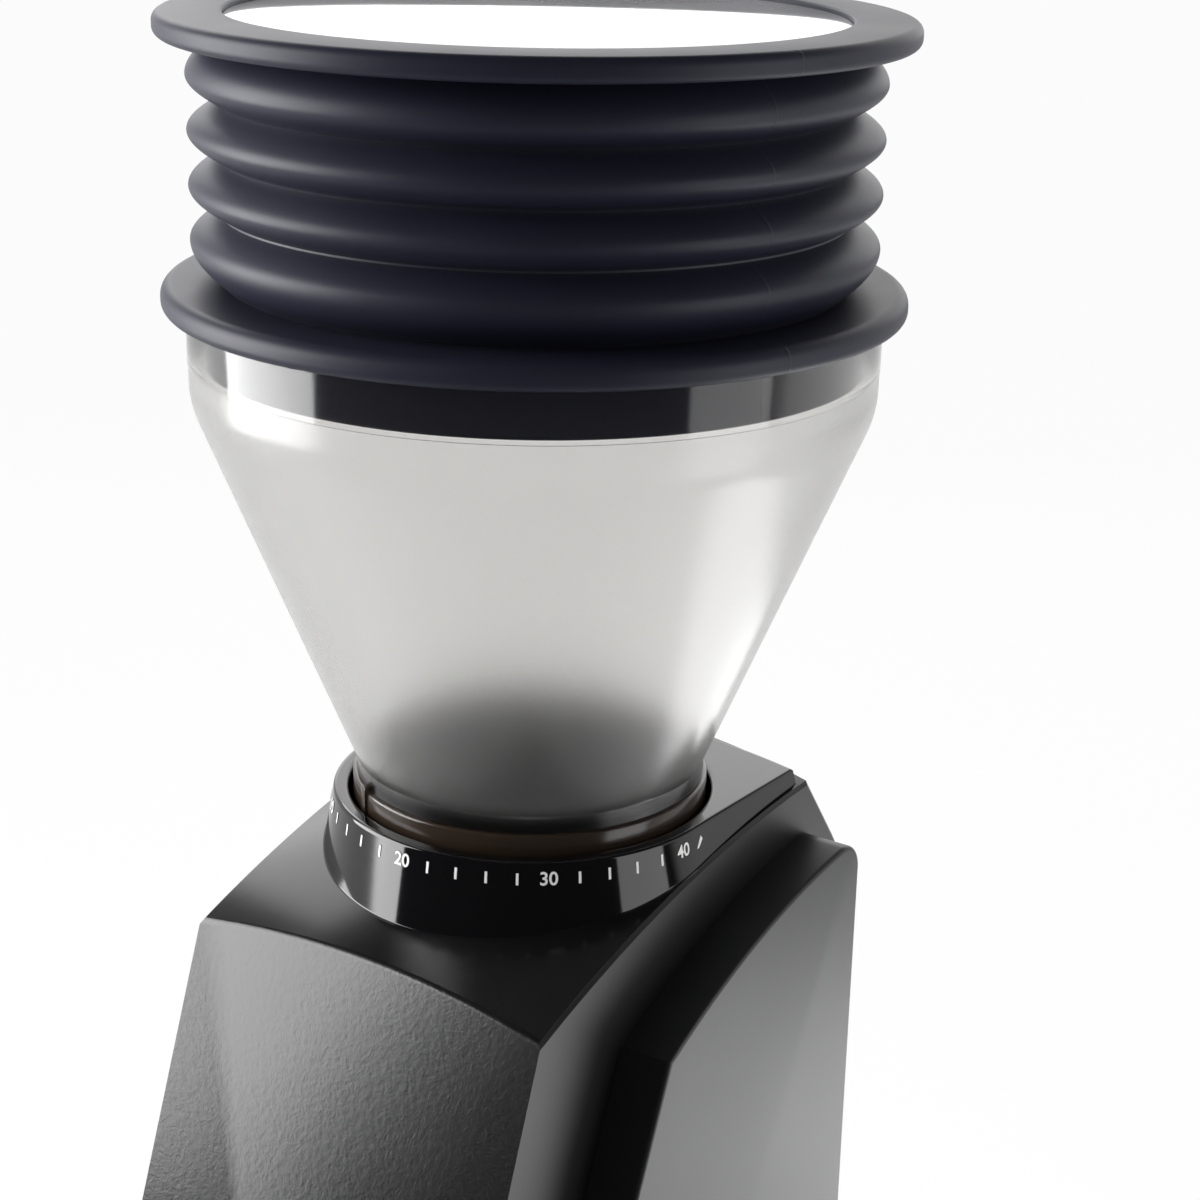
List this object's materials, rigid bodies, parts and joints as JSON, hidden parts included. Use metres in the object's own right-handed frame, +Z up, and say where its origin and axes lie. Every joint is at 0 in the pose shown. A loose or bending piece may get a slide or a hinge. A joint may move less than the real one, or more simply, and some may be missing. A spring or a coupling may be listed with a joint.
{
  "type": "burr coffee grinder",
  "caption": "Home burr coffee grinder: leaning black housing with a bin in front, turning scale-set bean hopper over conical burrs, and a squeeze bellows in place of the hopper lid.",
  "frame": {"origin": "where the burr axis meets the table, level with the undersides of the feet", "axes": "+Z up along the burr and hopper axis, -Y towards the front where the bin pulls out, +X to the right side with the power knob"},
  "size_m": [0.1282, 0.1631, 0.3843],
  "materials": {
    "housing_black": "fine moulded grain, satin black",
    "panel_grey": "satin dark grey",
    "collar_gloss": "glossy black with white printed scale",
    "hopper_smoke": "frosted smoke, polished band",
    "neck_amber": "dark amber translucent",
    "silicone": "matte blue-black silicone",
    "window": "pale clear disc",
    "foot_rubber": "matte",
    "bin_smoke": "smoke grey",
    "button_black": "satin black",
    "burr_steel": "hardened and ground",
    "steel": "turned",
    "motor_steel": "plated can",
    "bush_bronze": "sintered bronze",
    "gear_nylon": "natural nylon",
    "inner_black": "moulded inner parts",
    "board_green": "circuit board"
  },
  "bodies": {
    "housing": {"main_housing": "housing_black", "left_side_panel": "panel_grey", "right_side_panel": "panel_grey", "base_plate": "inner_black", "rubber_feet": "foot_rubber", "base_screws": "steel", "scale_collar": "collar_gloss", "cord_gland": "inner_black", "pulse_switch": "inner_black", "rotary_switch": "inner_black", "control_board": "board_green", "burr_chamber": "inner_black", "chamber_screws": "steel", "grounds_chute": "inner_black", "shaft_bushes": "bush_bronze", "idler_pin": "steel", "gearbox_body": "inner_black", "gearbox_cover": "inner_black", "motor": "motor_steel"},
    "hopper_set": {"hopper": "hopper_smoke", "hopper_neck_ring": "neck_amber", "adjust_ring": "inner_black"},
    "bellows_set": {"bellows_base": "silicone", "bellows_folds": "silicone"},
    "bellows_top": {"bellows_rim": "silicone", "bellows_window": "window"},
    "ring_burr_set": {"ring_burr": "burr_steel", "burr_carrier": "inner_black", "ring_burr_gasket": "silicone"},
    "burr_drive": {"cone_burr": "burr_steel", "burr_bolt": "steel", "drive_shaft": "steel", "paddle_wheel": "inner_black", "main_gear": "gear_nylon"},
    "idler": {"idler_gear": "gear_nylon"},
    "motor_rotor": {"motor_shaft": "steel", "motor_pinion": "steel"},
    "bin": {"grounds_bin": "bin_smoke"},
    "pulse": {"pulse_button": "button_black"},
    "power": {"power_knob": "button_black"}
  },
  "joints": [
    {"name": "hopper_turn", "type": "hinge", "parent": "housing", "child": "hopper_set", "pos_m": [0, 0, 0.245], "axis": [0, 0, 1], "range_deg": [-56, 123]},
    {"name": "ring_burr_lift", "type": "slide", "parent": "housing", "child": "ring_burr_set", "axis": [0, 0, 1], "range_m": [-0.0008, 0.00173]},
    {"name": "bellows_lift", "type": "slide", "parent": "hopper_set", "child": "bellows_set", "axis": [0, 0, 1], "range_m": [0, 0.05]},
    {"name": "bellows_press", "type": "slide", "parent": "bellows_set", "child": "bellows_top", "axis": [0, 0, 1], "range_m": [-0.022, 0], "stiffness_N_per_m": 400, "springref_m": 0.004, "deforming": ["bellows_folds"]},
    {"name": "burr_spin", "type": "hinge", "parent": "housing", "child": "burr_drive", "pos_m": [0, 0, 0.2], "axis": [0, 0, 1], "continuous": true},
    {"name": "idler_spin", "type": "hinge", "parent": "housing", "child": "idler", "pos_m": [0.018, 0.02145, 0.145], "axis": [0, 0, 1], "continuous": true},
    {"name": "motor_spin", "type": "hinge", "parent": "housing", "child": "motor_rotor", "pos_m": [0, 0.02145, 0.14], "axis": [0, 0, 1], "continuous": true},
    {"name": "bin_slide", "type": "slide", "parent": "housing", "child": "bin", "axis": [0, -1, 0], "range_m": [0, 0.1]},
    {"name": "pulse_press", "type": "slide", "parent": "housing", "child": "pulse", "axis": [0, 0.9426, -0.3338], "range_m": [0, 0.003], "stiffness_N_per_m": 400, "springref_m": -0.003},
    {"name": "power_turn", "type": "hinge", "parent": "housing", "child": "power", "pos_m": [0.0482, 0.012, 0.072], "axis": [1, 0, 0], "range_deg": [0, 90]}
  ],
  "couplings": [
    {"joint": "ring_burr_lift", "follows": "hopper_turn", "m_per_rad": 0.00079577},
    {"joint": "idler_spin", "follows": "burr_spin", "ratio": -4},
    {"joint": "motor_spin", "follows": "burr_spin", "ratio": 16}
  ]
}
